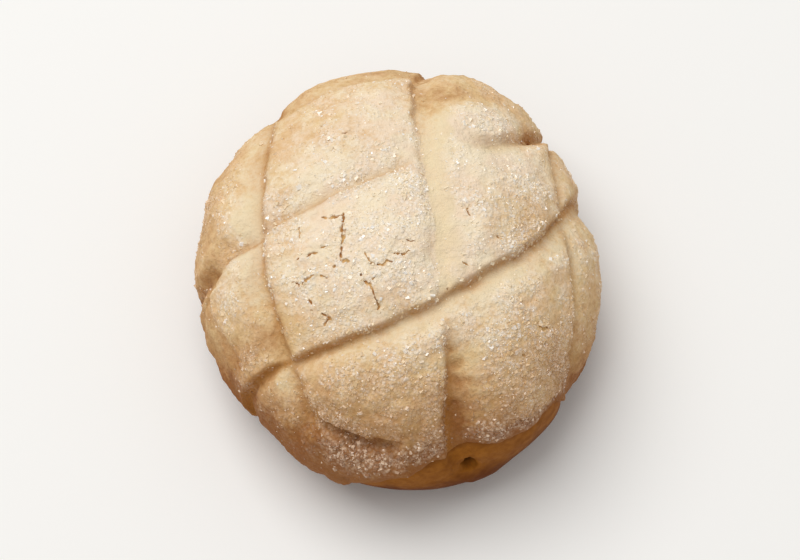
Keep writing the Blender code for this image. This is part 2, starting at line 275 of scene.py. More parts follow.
COLUMNS = (  # these run from the back, +Y, to the front
    Score(
        heading=-66, lean=0, offset=-48.4, bow=23, skew=-24, depths=0.7, ramp_side=-1, smooth=5,
        start=-12, end=16, lowest=20,
    ),
    Score(
        heading=-86, lean=-6, offset=-34, bow=7.9, skew=1.7, depths=(1.1, 1.6, 1.9), ramp_side=-1,
        wall=1.9, floors=(0.9, 0.9, 0.5), ramp=(6, 6, 5), smooth=(5, 5, 3), brown=(0.9, 0.7, 0.7),
        end=47,
    ),
    Score(
        heading=-83, lean=17, offset=11.8, bow=-4.5, skew=-2.4, depths=(1.9, 1, 1), ramp_side=1,
        wall=1.2, softness=(1, 2.4, 2), floors=(3, 1.6, 1.8), ramp=(7, 2.4, 2.4),
        smooth=(10, 4.2, 4.2), brown=(0.5, 0.05, 0), end=25, fade=4,
    ),
    Score(
        heading=-83, lean=17, offset=13.1, bow=-2.9, skew=-2.2, depths=(0.6, 0.6, 2.7), ramp_side=1,
        wall=1.3, softness=(2.2, 2.2, 1.5), floors=(1, 1, 2.4), ramp=(5, 5, 8),
        smooth=(2.5, 2.5, 5.5), brown=(0.3, 0.3, 0.8), start=20.5, fade=20,
    ),
    Score(
        heading=-83, lean=-5, offset=41.3, bow=1.2, skew=-4.8, depths=(2.2, 1.4, 0.6), ramp_side=1,
        wall=1.7, floors=(0.5, 0.5, 0.8), brown=(0.5, 0.5, 0.3), end=42,
    ),
)
ROWS = (  # these run from left to right
    Score(
        heading=22, lean=-10, offset=43.3, bow=-6, skew=0.9, depths=1.7, ramp_side=1, wall=0.8,
        ramp=9, smooth=12, brown=0.7, start=-20,
    ),
    Score(
        heading=24, lean=-24, offset=5.4, bow=6, skew=1, depths=(2.5, 1, 0.8), ramp_side=1,
        wall=1, ramp=7, smooth=1, brown=(0.9, 0.5, 0.3), end=10,
    ),
    Score(
        heading=24, lean=-24, offset=12.3, bow=-31, skew=30.7, depths=(0.4, 0.4, 1.7), ramp_side=-1,
        wall=2.6, ramp=5, smooth=(2, 2, 3), brown=(0.2, 0.2, 0.6), start=19, fade=11,
    ),
    Score(
        heading=33, lean=-8, offset=-25, bow=(10.4, 1.7), skew=(-0.6, 7.6), depths=(2.2, 1.9, 2.8),
        ramp_side=-1, wall=1.6, softness=(1, 0.9, 1.7), floors=(0.4, 0.7, 0.7), ramp=(3.5, 6, 6),
        smooth=(3, 3.5, 7), brown=(0.95, 0.72, 1),
    ),
    Score(
        heading=6, lean=60, offset=-63.2, bow=-2.7, skew=-27.5, depths=(2.4, 1.8, 0.8),
        ramp_side=-1, floors=(1.2, 2.6, 2.6), ramp=1.4, smooth=(2.2, 3.4, 3.4),
        brown=(0.9, 0.7, 0.3), start=-25.5, end=-3, lowest=22,
    ),
)
SCORES = COLUMNS + ROWS


class Crack:
    """A split in the baked surface, walked leg by leg from its start, seen from above.

    Each leg is a heading in degrees from +X and a length.
    """

    def __init__(self, start, legs, width):
        self.width = width * MM
        self.corners = [np.array(start) * MM]
        for heading, length in legs:
            self.corners.append(self.corners[-1] + length * MM * heading_vector(heading))

    def distance(self, points):
        """Distance to the crack seen from above, and the share of the way along it."""
        nearest = np.full(len(points), np.inf)
        place = np.zeros(len(points))
        for i, (a, b) in enumerate(zip(self.corners, self.corners[1:])):
            leg = b - a
            share = np.clip((points - a) @ leg / (leg @ leg), 0, 1)
            away = np.linalg.norm(points - a - share[:, None] * leg, axis=1)
            place = np.where(away < nearest, (i + share) / (len(self.corners) - 1), place)
            nearest = np.minimum(nearest, away)
        return nearest, place


CRACKS = (
    Crack((-12.7, -1.3), ((-93, 3.5), (-83, 2.3), (-98, 5.8)), 0.7),
    Crack((-13.4, -12.9), ((-3, 2.1),), 0.45), Crack((-17.7, -1.1), ((-25, 1.6), (1, 3.4)), 0.55),
    Crack((-23.2, -3.4), ((-89, 2.8),), 0.4), Crack((-20.9, -11.3), ((29, 2.4),), 0.5),
    Crack((-17.9, -8.6), ((-5, 1),), 0.4),
    Crack((-7.9, -11.3), ((-51, 2.9), (-13, 2.6), (64, 1.1), (-16, 1.9)), 0.5),
    Crack((-1, -11.4), ((-14, 2.1), (33, 1.4)), 0.6),
    Crack((-24.3, -16.2), ((-22, 1), (-38, 0.9), (25, 3.3)), 0.55),
    Crack((-18, -15.9), ((-19, 2.2),), 0.45),
    Crack((-7.7, -18.1), ((-31, 1.3), (-65, 1.6), (-70, 3.4), (-130, 0.7)), 0.55),
    Crack((-6.5, -18.4), ((49, 2.1),), 0.45), Crack((-20.1, -20.5), ((-80, 1.4),), 0.55),
    Crack((-17.3, -24.1), ((-47, 1.7), (-123, 1.8)), 0.65), Crack((15.6, 0.8), ((-62, 1.9),), 0.4),
    Crack((14.7, -13), ((-24, 1.5),), 0.4), Crack((1.7, -8.1), ((-5, 2.1),), 0.3),
    Crack((31.7, -24.4), ((-39, 1.6), (22, 1.9)), 0.6), Crack((-12.8, 21), ((9, 1.2),), 0.4),
)
PITS = (  # place seen from above, and radius
    (-14.6, -13.7, 0.45), (-8.4, -16.5, 0.45), (-19.9, -23.6, 0.35), (48.6, -2.6, 0.22),
    (-23.1, -11.6, 0.3), (22.6, -6, 0.4), (33.2, -28, 0.35), (11.5, -19, 0.35), (28.6, -31.5, 0.35),
)


@dataclass
class Dent:
    """A hollow in the crust, or a bulge where its depth is negative."""

    centre: tuple  # seen from above
    reach: tuple  # along the heading and across it
    heading: float
    brown: float  # how much browner it is than the dough round it: baked colour, with painted shade in a hollow
    depth: float = 0.0

    def share(self, points):
        """1 in the middle, falling to 0."""
        x, y = heading_vector(self.heading)
        away = points[:, :2] - np.array(self.centre) * MM
        along = away @ np.array([x, y]) / (self.reach[0] * MM)
        across = away @ np.array([-y, x]) / (self.reach[1] * MM)
        return np.exp(-(along**2) - across**2) * rise(points[:, 2], 8 * MM, 6 * MM)


DENTS = [Dent(*row) for row in (  # centre, reach, heading, brown, and depth where it has one
    ((12.9, -32.2), (1.2, 1), 0, 0.6, 0.7), ((13.7, -35.6), (1.6, 1.3), 20, 0.65, 0.9),
    ((13.8, -39.2), (2.4, 1.5), -30, 0.5, 0.9), ((16.8, -38.7), (2.4, 0.8), 10, 0.2, 0.4),
    ((13.2, -44.4), (2.2, 2.6), 20, 0.45, 0.9), ((15.6, -43.8), (2.4, 0.9), 15, 0.2, 0.4),
    ((13.6, -49), (4, 2.6), -80, 0.4, 0.6), ((33.8, 29.4), (3.4, 2.2), 25, 0.8, 2.6),
    ((8.8, 36.5), (6, 7), 0, 0.6, 0.4), ((38.2, 29), (2.2, 2.8), 40, -0.1, -0.9),
    ((17.4, -17.2), (3.6, 1.5), 25, 0.35, 0.8), ((-31.5, -34.6), (4, 1.8), 18, 0.4, 0.5),
    ((-45.6, -9.8), (1.5, 2.2), 10, 0.6, 0.9), ((-43.6, -12.8), (1.8, 1.4), 20, -0.2, -0.5),
    ((-41, -4), (6, 3), 22, 0.35, 0.6), ((-15.2, -49), (2.6, 1.3), -52, -0.1, -1),
    ((-11, -51.8), (3, 1.3), -30, -0.1, -1.1), ((-5.6, -53.6), (3.6, 1.3), -10, -0.1, -1),
    ((1, -54.6), (4, 1.3), -4, -0.1, -0.8), ((-16.5, -54.5), (3.5, 3), -20, 0.3, -2.2),
    ((-8, -56.5), (6, 3), -10, 0.9, -1.4), ((-26, -48.8), (6, 3.5), -30, 0, -1.4),
    ((-6, 52), (16, 8), 0, 0.15, 1.7), ((-51, 6), (6, 15), 0, 0, 1.4),
    ((-48.5, -8.3), (3, 1.8), 20, 0.6, 2.4), ((-47.5, -17), (4, 6), 10, 0, -0.9),
    ((-44, 27), (8, 5), 60, 0, 0.8), ((15, 48), (10, 6), 0, 0, -0.9),
    ((4, 50), (5, 6), 0, 0, 1.1), ((-18, 23), (18, 12), 0, 0.38),
    ((-47, 8), (6, 16), 0, 0.25), ((27, 5), (9, 6), 0, 0.35), ((29, -2), (10, 5), 30, 0.5),
    ((10, -17.5), (5, 3), 30, -0.2, -0.7), ((7, 29), (4, 7), 0, 0.25),
    ((19, 27), (8, 4), 10, -0.35), ((34, -40.5), (8, 5), 45, -0.9),
    ((44, -26), (7, 9), 0, -0.4), ((-32.5, -34.8), (5, 3), 0, -0.1, -1.1),
    ((-27, -37.5), (8, 5), -40, -0.85), ((-36, -34), (5, 5), 0, -0.35),
    ((0, -22), (5, 3.5), 0, 0.45), ((-37, -2), (5, 10), 0, -0.3),
    ((-36, 30), (6, 8), 0, -0.3), ((24, 19), (8, 6), 0, -0.25),
    ((-27, -25), (4.5, 5), 0, 0.3), ((-28, 6), (4, 20), 0, 0.25),
    ((18, 36.5), (7, 4), 0, 0.5), ((-44, -22), (7, 12), 15, -0.6),
)]
FROST_PATCHES = (  # place seen from above, reach, and how thick the sugar is
    (2.5, 7, 5, 1), (2.5, -0.5, 4, 0.8), (-20, -16.4, 4.5, 0.7), (-7.6, -15.1, 4, 0.5),
    (1.5, -17.2, 3.5, 0.6), (19, 2, 2.5, 0.6), (32.6, 11.3, 4.5, 0.5), (33.3, -1.7, 4, 0.7),
    (28.3, -5.5, 4.5, 0.6), (-14.5, 20.4, 4.5, 0.4), (22.2, 28, 5, 0.7), (30.3, -28.2, 7, 0.7),
    (36.5, -28.6, 5, 1), (28, -39, 6.5, 1), (21.2, -47.5, 4.5, 1), (10, -32, 2.2, 0.9),
    (9.2, -38.5, 2.6, 1), (8.6, -44, 3, 1), (8.4, -49.5, 3.4, 1), (-3, -39.5, 7, 0.4),
    (-9, -36.5, 6, 0.5), (-20, -42.5, 2, 0.8), (-17.2, -44.9, 1.8, 0.8), (-14, -46, 1.8, 0.8),
    (-11, -47.6, 1.8, 1), (-7.8, -48.6, 1.8, 1), (-16.2, -47.9, 1.5, 0.9), (-15, -49.4, 1.5, 0.9),
    (-12.3, -50.6, 1.6, 0.9), (-9.2, -51.5, 1.6, 0.9), (-6.4, -52.2, 1.6, 0.9), (-3.2, -52.8, 1.6, 0.8),
    (0.6, -53.2, 1.8, 0.7), (4.6, -53.2, 2, 0.7), (7.6, -53.6, 3, 1), (-39.5, -17.5, 3, 0.5),
    (-36.5, -30, 3, 0.5), (-48.5, 13, 4, 0.4), (-26, -41, 3.5, 0.5),
)


def girth_radius(azimuth):
    """The bun's radius at its widest, all round it."""
    a, b = WIDTH / 2, DEPTH / 2
    radius = a * b / np.hypot(b * np.cos(azimuth), a * np.sin(azimuth))
    lobes = sum(share * np.cos(n * (azimuth - math.radians(at))) for n, share, at in OUTLINE_LOBES)
    return radius * (1 + lobes)


def rim_height(azimuth):
    """The height of the crust's ragged lower edge."""
    places = np.radians([place for place, _ in RIM_HEIGHTS])
    heights = np.array([height for _, height in RIM_HEIGHTS]) * MM
    azimuth = (azimuth + math.pi) % (2 * math.pi) - math.pi
    before = np.clip(np.searchsorted(places, azimuth, side="right") - 1, 0, len(places) - 2)
    between = (azimuth - places[before]) / (places[before + 1] - places[before])
    height = heights[before] + (heights[before + 1] - heights[before]) * ease(between)
    round_it = np.stack([np.cos(azimuth), np.sin(azimuth), 0 * azimuth], axis=-1) * WIDTH / 2
    return height + RIM_RAGGED * (waves(round_it, 9 * MM) + 0.5 * waves(round_it, 3 * MM))


def turn_at_height(z):
    """The profile's own angle at a height: 0 at the crown, pi / 2 at the girth, pi at the base."""
    above = np.clip((z - GIRTH_HEIGHT) / (HEIGHT - GIRTH_HEIGHT), 0.0, 1.0)
    below = np.clip(1 - z / GIRTH_HEIGHT, 0.0, 1.0)
    upper = np.arccos(above ** (DOME_FULLNESS / 2))
    return np.where(z >= GIRTH_HEIGHT, upper, math.pi / 2 + np.arcsin(below))


def smooth_form(azimuth, turn):
    """Points on the bun's outer form, without its scores, for the profile angle turn."""
    radius = girth_radius(azimuth)
    upper = np.clip(turn, 0.0, math.pi / 2)
    lower = np.clip(turn - math.pi / 2, 0.0, math.pi / 2)
    above = turn <= math.pi / 2
    across = np.where(
        above,
        radius * np.sin(upper) ** (2 / DOME_FULLNESS),
        radius - BASE_TUCK * (1 - np.cos(lower)),
    )
    up = np.where(
        above,
        GIRTH_HEIGHT + (HEIGHT - GIRTH_HEIGHT) * np.abs(np.cos(upper)) ** (2 / DOME_FULLNESS),
        GIRTH_HEIGHT * (1 - np.sin(lower)),
    )
    return np.stack([across * np.cos(azimuth), across * np.sin(azimuth), up], axis=-1)


def turn_of(points):
    """The azimuth and profile angle of points on or near the outer form."""
    azimuth = np.arctan2(points[:, 1], points[:, 0])
    radius = girth_radius(azimuth)
    across = np.hypot(points[:, 0], points[:, 1])
    above = (points[:, 2] - GIRTH_HEIGHT) / (HEIGHT - GIRTH_HEIGHT)
    power = DOME_FULLNESS / 2
    upper = np.arctan2((across / radius) ** power, np.clip(above, 0, 1) ** power)
    inward = np.clip((across - radius + BASE_TUCK) / BASE_TUCK, 0, 1)
    lower = math.pi / 2 + np.arctan2(np.clip(1 - points[:, 2] / GIRTH_HEIGHT, 0, 1), inward)
    return azimuth, np.where(above >= 0, upper, lower)


def outward(azimuth, turn):
    """Unit normals of the outer form."""
    step = 1e-3
    turn = np.clip(turn, 2 * step, math.pi - 2 * step)
    round_it = smooth_form(azimuth + step, turn) - smooth_form(azimuth - step, turn)
    down_it = smooth_form(azimuth, turn + step) - smooth_form(azimuth, turn - step)
    normal = np.cross(down_it, round_it)
    return normal / np.linalg.norm(normal, axis=-1, keepdims=True)


def crust_thickness(share):
    """The crust's thickness, share of the way from the crown to the rim."""
    return CROWN_THICKNESS + (RIM_THICKNESS - CROWN_THICKNESS) * ease(share)


def together(amounts):
    """Overlapping grooves joined without getting deeper where they cross."""
    return np.sum(np.array(amounts) ** 4, axis=0) ** 0.25


def pressed_in(points, most):
    """How far the scores press the outer form in at each point, and no deeper than most."""
    groove = together([score.pressed(points) for score in SCORES])
    edge = TILE_CROWN * (together([score.tile_edge(points) for score in SCORES]) - 0.5)
    return np.minimum(groove + edge, most) + LUMP_HEIGHT * waves(points, LUMP_SPACING)


def bare_band(points):
    """1 where a scraper left the dough smooth and unsugared."""
    return np.max([score.bare(points) for score in SCORES], axis=0)


def groove_browning_and_shade(points):
    """How much browner the feet of the scores' walls are: baked colour with painted shade in the creases.
    """
    return np.max([score.browned_and_shaded(points) for score in SCORES], axis=0)


def ragged(points, share):
    """The share of the way from the crown to the rim, with the noise that makes a look end unevenly."""
    return share + 0.04 * waves(points, 6 * MM, seed=67.0)


def toasting_and_painted_shade(points, share):
    """How brown the crust is coloured, from 0 for pale dough to 1 at the rim: its baked browning, with
    painted shade on the front that faces the camera, at the feet of the scores' walls and in the dents'
    hollows.
    """
    low = (HEIGHT - points[:, 2]) / HEIGHT
    # painted shade: the front half, which faces the camera, is coloured darker than its baking alone makes
    # it
    front = ease(-2.6 * points[:, 1] / DEPTH)
    back = rise(points[:, 1], 5 * MM, 50 * MM)
    left = 1 - rise(points[:, 0], -50 * MM, 65 * MM)
    rim = 0.15 * rise(share, 0.8, 0.2)
    limb = rise(share, 0.25, 0.35) * (0.06 + 0.1 * left + 0.12 * back)
    # painted shade: darker still near the rim on the front
    edge = 0.38 * front * rise(ragged(points, share), 0.88, 0.1)
    # painted shade at the feet of the scores' walls, with their baked brown
    feet = 0.15 * groove_browning_and_shade(points)
    # darker in the dents' hollows: baked colour with painted shade; paler on bulges
    dents = 0.5 * sum(dent.brown * dent.share(points) for dent in DENTS)
    patches = 0.08 * (waves(points, 15 * MM, seed=41.0) + 0.6 * waves(points, 5 * MM, seed=43.0))
    # browner lower down from baking, and on the front much darker still as painted shade
    return np.clip(low * (0.55 + 1.4 * front) + rim + limb + edge + feet + dents + patches, 0, 1)


def thick_frost(points):
    """The placed patches of thick sugar, broken up by noise."""
    thick = np.zeros(len(points))
    for x, y, reach, amount in FROST_PATCHES:
        away = away_from(points, x, y) / (reach * MM)
        thick = np.maximum(thick, amount * np.exp(-(away**3)))
    broken = np.clip(0.75 + 0.8 * waves(points, 2.2 * MM, seed=53.0), 0, 1)
    return thick * broken * rise(points[:, 2], 18 * MM, 6 * MM)


def frosting(points, share, bare):
    """How thickly sugar lies on the crust, from 0 to 1."""
    patches = 0.5 + 0.9 * waves(points, 8 * MM, seed=31.0) + 0.5 * waves(points, 2.6 * MM, seed=37.0)
    even = np.clip(patches, 0.05, 1) * (0.32 + 0.2 * rise(points[:, 0], -45 * MM, 30 * MM))
    lowest = 10 * MM + 8 * MM * ease(-points[:, 1] / (45 * MM))
    reached = rise(points[:, 2], lowest, 12 * MM) * (1 - 0.55 * ease(points[:, 1] / (45 * MM)))
    edge = ragged(points, share)
    even = even * (1 - 0.85 * rise(edge, 0.91, 0.06))
    thick = thick_frost(points) * (1 - 0.85 * rise(edge, 0.94, 0.04))
    return np.clip((even + 0.8 * thick) * (1 - 0.78 * bare) * reached, 0, 1)


def crack_openings(points):
    """How deep the cracks and pits are at each point, and how far their inside shows, from 0 to 1."""
    jitter = [waves(points, 1.1 * MM, seed) + 0.5 * waves(points, 0.4 * MM, seed) for seed in (11.0, 23.0)]
    moved = points[:, :2] + CRACK_JITTER * np.stack(jitter, axis=-1)
    uneven = np.clip(0.95 + 1.5 * waves(points, 0.8 * MM, seed=29.0), 0.3, 2.0)
    depth, opened = np.zeros(len(points)), np.zeros(len(points))
    for crack in CRACKS:
        away, place = crack.distance(moved)
        taper = 0.45 + 0.55 * np.sin(math.pi * (0.08 + 0.84 * place))
        inside = np.clip(1 - away / (CRACK_WIDENING * crack.width * uneven * taper), 0, 1)
        depth = np.maximum(depth, CRACK_DEPTH * np.sqrt(inside))
        opened = np.maximum(opened, np.minimum(1.6 * inside, 1))
    for x, y, radius in PITS:
        inside = np.clip(1 - away_from(moved, x, y) / (radius * MM), 0, 1)
        depth = np.maximum(depth, PIT_DEPTH * radius * MM * np.sqrt(inside))
        opened = np.maximum(opened, np.minimum(2.5 * inside, 1))
    return depth, opened


def crack_distance(points):
    """Distance to the nearest crack or pit, seen from above."""
    away = [crack.distance(points[:, :2])[0] for crack in CRACKS]
    away += [away_from(points, x, y) for x, y, _ in PITS]
    return np.min(away, axis=0)


def wobble(points, normals):
    """The scores' sideways wander, along the surface."""
    moved = np.zeros_like(points)
    for size, spacing in WOBBLES:
        moved += size * np.array([noise.noise_vector(p) for p in (points / spacing).tolist()])
    return moved - normals * np.sum(moved * normals, axis=1, keepdims=True)


def ring_faces(counts):
    """Faces that join rings of points. Each ring has as many, half or twice as many as the last."""
    starts = 1 + np.concatenate([[0], np.cumsum(counts)])
    last = starts[-1]
    faces = [(0, 1 + i, 1 + (i + 1) % counts[0]) for i in range(counts[0])]
    for here, there, n, m in zip(starts, starts[1:], counts, counts[1:]):
        for i in range(max(n, m)):
            j = (i + 1) % max(n, m)
            if n == m:
                faces.append((here + i, there + i, there + j, here + j))
            elif m > n:
                a, b = here + i // 2, here + (i // 2 + 1) % n
                faces.append((b if i % 2 else a, there + i, there + j))
                if i % 2 == 0:
                    faces.append((a, there + j, b))
            else:
                a, b = there + i // 2, there + (i // 2 + 1) % m
                faces.append((here + i, b if i % 2 else a, here + j))
                if i % 2 == 0:
                    faces.append((here + j, a, b))
    faces += [(starts[-2] + (i + 1) % counts[-1], starts[-2] + i, last) for i in range(counts[-1])]
    return faces


def ring_azimuths(counts):
    """The azimuth of each point of a mesh of rings, poles too."""
    rings = [np.arange(n) * 2 * math.pi / n for n in counts]
    return np.concatenate([[0.0], *rings, [0.0]])


def per_ring(values, counts):
    """One value for each point, from one for the first pole, each ring and the last pole."""
    return np.repeat(np.array(values), [1, *counts, 1])


def ring_bmesh(points, counts):
    mesh = bpy.data.meshes.new("rings")
    mesh.from_pydata(points.tolist(), [], ring_faces(counts))
    bm = bmesh.new()
    bm.from_mesh(mesh)
    bpy.data.meshes.remove(mesh)
    return bm


def crust_rings():
    """The crust's rings: share of the way to the rim, turn past it, depth, and number of points.

    The rings inside the crust have no depth of their own: they lie as deep as the crust is thick.
    """
    slant, nose = RIM_SLANT / (WIDTH / 2), RIM_ROUND / (WIDTH / 2)
    rings = []
    for share in np.linspace(0, 1, OUTER_RINGS + 1):
        halved = sum(share < limit for limit in HALVING_SHARES)
        rings.append((share, -nose * share, 0.0, RIM_SEGMENTS >> halved))
    for angle in np.linspace(0, math.pi / 2, CURL_RINGS + 1)[1:]:
        rings.append((1, nose * (math.sin(angle) - 1), RIM_ROUND * (1 - math.cos(angle)), RIM_SEGMENTS))
    rings.append((1.0, -slant, None, RIM_SEGMENTS))
    for halved, share in enumerate(INNER_SHARES, start=1):
        rings.append((share, -slant * share, None, RIM_SEGMENTS >> halved))
    return rings


def crust_bmesh():
    """A closed cap with its rim, before it's pressed in.

    Each point keeps its depth on the rounded rim in the layer rim_depth, or -1 inside the crust.
    """
    shares, extras, depths, sizes = zip(*crust_rings())
    counts = sizes[1:-1]
    azimuth = ring_azimuths(counts)
    share = per_ring(shares, counts)
    is_inner = per_ring([depth is None for depth in depths], counts)
    rim_depths = per_ring([depth or 0.0 for depth in depths], counts)
    depth = np.where(is_inner, crust_thickness(share), rim_depths)
    turn = share * turn_at_height(rim_height(azimuth)) + per_ring(extras, counts)
    bm = ring_bmesh(smooth_form(azimuth, turn) - outward(azimuth, turn) * depth[:, None], counts)
    rim_depth = bm.verts.layers.float.new("rim_depth")
    for vert, value, hidden in zip(bm.verts, depth, is_inner):
        vert[rim_depth] = -1.0 if hidden else value
    return bm


def coordinates(bm):
    return np.array([v.co for v in bm.verts])


def put(bm, points):
    for vert, point in zip(bm.verts, points.tolist()):
        vert.co = point


def bend_along(bm, score, sign):
    """Bends the crust as a score bends, or straightens the score where sign is -1."""
    _, across, _ = score.axes()
    points = coordinates(bm)
    t, _ = score.measure(points)
    sideways = across / math.cos(math.radians(score.lean))
    put(bm, points + sign * np.outer(score.bend(t), sideways))


def cut_along(bm, score):
    """Adds edges along one score to the crust's outer faces, so that its wall keeps a clean edge."""
    rim_depth = bm.verts.layers.float["rim_depth"]
    t, s = score.measure(coordinates(bm))
    outer = np.array([v[rim_depth] >= 0 for v in bm.verts])
    near = outer & (np.abs(s) < score.wall + CUT_REACH) & (score.start <= t) & (t <= score.end)
    bm.verts.ensure_lookup_table()
    touched = [bm.verts[i] for i in np.flatnonzero(near)]
    faces = {f for v in touched for f in v.link_faces if all(x[rim_depth] >= 0 for x in f.verts)}
    geometry = [*faces, *{e for f in faces for e in f.edges}, *{v for f in faces for v in f.verts}]
    _, _, normal = score.axes()
    bend_along(bm, score, -1)
    for distance in score.cuts():
        place = score.middle() + normal * distance
        cut = bmesh.ops.bisect_plane(bm, geom=geometry, dist=CUT_SNAP, plane_co=place, plane_no=normal)
        geometry = cut["geom"]
    bend_along(bm, score, 1)


def refine_near_cracks(bm):
    """Splits the faces beside the cracks until they're small enough to hold them."""
    rim_depth = bm.verts.layers.float["rim_depth"]
    for reach in CRACK_REFINING:
        near = crack_distance(coordinates(bm)) < reach
        bm.verts.index_update()
        edges = []
        for edge in bm.edges:
            first, last = edge.verts
            if near[first.index] and near[last.index] and first[rim_depth] >= 0:
                edges.append(edge)
        bmesh.ops.subdivide_edges(bm, edges=edges, cuts=1, use_grid_fill=True)


def crust_relief(points, surface, share, bare):
    """How deep the crust's surface lies at each point, without its frost and cracks."""
    depth = pressed_in(surface, DEEPEST_SHARE * crust_thickness(share))
    depth += BUMP_HEIGHT * waves(surface, BUMP_SPACING, seed=71.0)
    left = 1 - SCRAPED_FLAT * bare
    depth += left * DIMPLE_HEIGHT * waves(points, DIMPLE_SPACING, seed=3.0)
    depth += left * GRAIN_HEIGHT * waves(points, GRAIN_SPACING, seed=5.0)
    return depth + sum(dent.depth * MM * dent.share(surface) for dent in DENTS)


def make_crust():
    """The crust, with what its material needs to know kept as a value at each point."""
    bm = crust_bmesh()
    for score in SCORES:
        cut_along(bm, score)
    refine_near_cracks(bm)
    rim_depth = bm.verts.layers.float["rim_depth"]
    rounded = np.array([v[rim_depth] for v in bm.verts])
    points = coordinates(bm)

    azimuth, turn = turn_of(points)
    share = turn / turn_at_height(rim_height(azimuth))
    surface = smooth_form(azimuth, turn)
    normals = outward(azimuth, turn)
    bare = bare_band(surface)
    frost = frosting(surface, share, bare)
    opening, opened = crack_openings(surface)
    top = points[:, 2] > GIRTH_HEIGHT
    depth = crust_relief(points, surface, share, bare) - FROST_HEIGHT * frost + np.where(top, opening, 0)
    moved = surface - normals * (depth + np.maximum(rounded, 0))[:, None]
    moved += wobble(surface, normals) * ease((1 - share) * 25)[:, None]
    put(bm, np.where((rounded >= 0)[:, None], moved, points))
    values = {
        "bare": bare,
        "crack": np.where(top, opened, 0),
        # painted shade rides in these two values along with the baked colour: at the walls' feet, in the
        # hollows and on the front
        "foot": groove_browning_and_shade(surface),
        "toast_and_shade": toasting_and_painted_shade(surface, share),
        "frost": frost,
    }
    return finish_mesh("cookie_crust_sugared", bm, values)


def bread_rings():
    """The bread's rings: the part that they belong to, share of the way along it, and extra turn."""
    slant, clear = RIM_SLANT / (WIDTH / 2), GAP / (WIDTH / 2)
    core = [("core", share, -slant * share) for share in np.linspace(0, 0.97, CORE_RINGS)]
    shoulder = [("side", 0.0, -2.2 * clear), ("side", 0.0, 0.0)]
    side = [("side", share, 0.0) for share in np.linspace(0, 1, SIDE_RINGS + 1)[1:]]
    base = [("base", share, 0.0) for share in BASE_SHARES]
    return core + shoulder + side + base


def make_bread():
    """The bread: a core inside the crust, the bare bulge below the rim and the flat base."""
    kinds, shares, extras = zip(*bread_rings())
    counts = [BREAD_SEGMENTS] * (len(kinds) - 2)
    azimuth = ring_azimuths(counts)
    kind, share = per_ring(kinds, counts), per_ring(shares, counts)
    is_core, is_base = kind == "core", kind == "base"
    below = np.where(is_core, 0.0, share)
    rim = turn_at_height(rim_height(azimuth))
    turn = np.where(is_core, share * rim, rim + below * (math.pi - rim)) + per_ring(extras, counts)
    turn = np.where(is_base, math.pi, turn)
    surface = smooth_form(azimuth, turn)
    normals = outward(azimuth, turn)

    bulge = RIM_STEP + 0.8 * pressed_in(surface, DEEPEST_SHARE * RIM_THICKNESS)
    bulge += DIMPLE_HEIGHT * waves(surface, 7 * MM, seed=9.0)
    bulge *= (1 - 1.4 * ease(below * 2.2)) * (1 - ease(4 * below - 3))
    depth = np.where(is_core, crust_thickness(share) + GAP, bulge)
    points = surface - normals * depth[:, None]
    points[is_base] *= (1 - share[is_base])[:, None]
    points[is_base | (below >= 1), 2] = 0.0
    away = np.linalg.norm((surface - np.array(HOLE_PLACE)) / np.array(HOLE_REACH), axis=1)
    hole = np.where(is_core, 0.0, 1 - ease(1.6 * away - 0.4))
    points = points - normals * (HOLE_DEPTH * hole)[:, None]
    points[:, 2] = np.maximum(points[:, 2], 0.0)  # the bulge stays above the floor
    values = {"below": np.where(is_core, 0.0, np.where(is_base, 1.0, below)), "hole": hole}
    return finish_mesh("bread_baked", ring_bmesh(points, counts), values)


def add_object(name, data):
    """Puts a mesh, a camera or a light in the scene."""
    made = bpy.data.objects.new(name, data)
    bpy.context.scene.collection.objects.link(made)
    return made


def keep_values(mesh, values):
    """Keeps named values, one for each point, for the materials to read."""
    for key, numbers in values.items():
        layer = mesh.attributes.new(key, "FLOAT", "POINT")
        layer.data.foreach_set("value", np.asarray(numbers, dtype=np.float32))


def finish_mesh(name, bm, values):
    """Moves the piece so that the bun is centred, and makes its object with its values."""
    bmesh.ops.translate(bm, verts=bm.verts, vec=(-BOX_MIDDLE[0], -BOX_MIDDLE[1], 0))
    bmesh.ops.triangulate(bm, faces=[f for f in bm.faces if len(f.verts) > 4])
    bmesh.ops.recalc_face_normals(bm, faces=bm.faces)
    mesh = bpy.data.meshes.new(name)
    bm.to_mesh(mesh)
    bm.free()
    mesh.shade_smooth()
    keep_values(mesh, values)
    return add_object(name, mesh)


@dataclass
class Sugar:
    """One size of sugar crystal, strewn over the crust."""

    name: str
    count: int
    smallest: float
    largest: float
    even: float  # share of the frost's thickness that counts where it's thin


SUGARS = (
    Sugar("sugar_coarse", 3400, 0.5 * MM, 1.15 * MM, 0.06),
    Sugar("sugar_fine", 9000, 0.28 * MM, 0.55 * MM, 0.1),
)
SUGAR_SUNK = 0.28  # share of a crystal's size by which its middle lies below the crust's surface
SUGAR_UNEVEN = 0.09  # share of its size by which a crystal's corners stray
CUBE_CORNERS = np.array([(x, y, z) for x in (-0.5, 0.5) for y in (-0.5, 0.5) for z in (-0.5, 0.5)])
CUBE_FACES = np.array(((0, 1, 3, 2), (4, 6, 7, 5), (0, 4, 5, 1), (2, 3, 7, 6), (0, 2, 6, 4), (1, 5, 7, 3)))


def triangles_of(obj):
    """The corners of an object's triangles, as numbers of points, and the places of its points."""
    mesh = obj.data
    mesh.calc_loop_triangles()
    corners = np.empty(len(mesh.loop_triangles) * 3, dtype=np.int32)
    mesh.loop_triangles.foreach_get("vertices", corners)
    places = np.empty(len(mesh.vertices) * 3)
    mesh.vertices.foreach_get("co", places)
    return corners.reshape(-1, 3), places.reshape(-1, 3)


def values_of(obj, key):
    values = np.empty(len(obj.data.vertices), dtype=np.float32)
    obj.data.attributes[key].data.foreach_get("value", values)
    return values


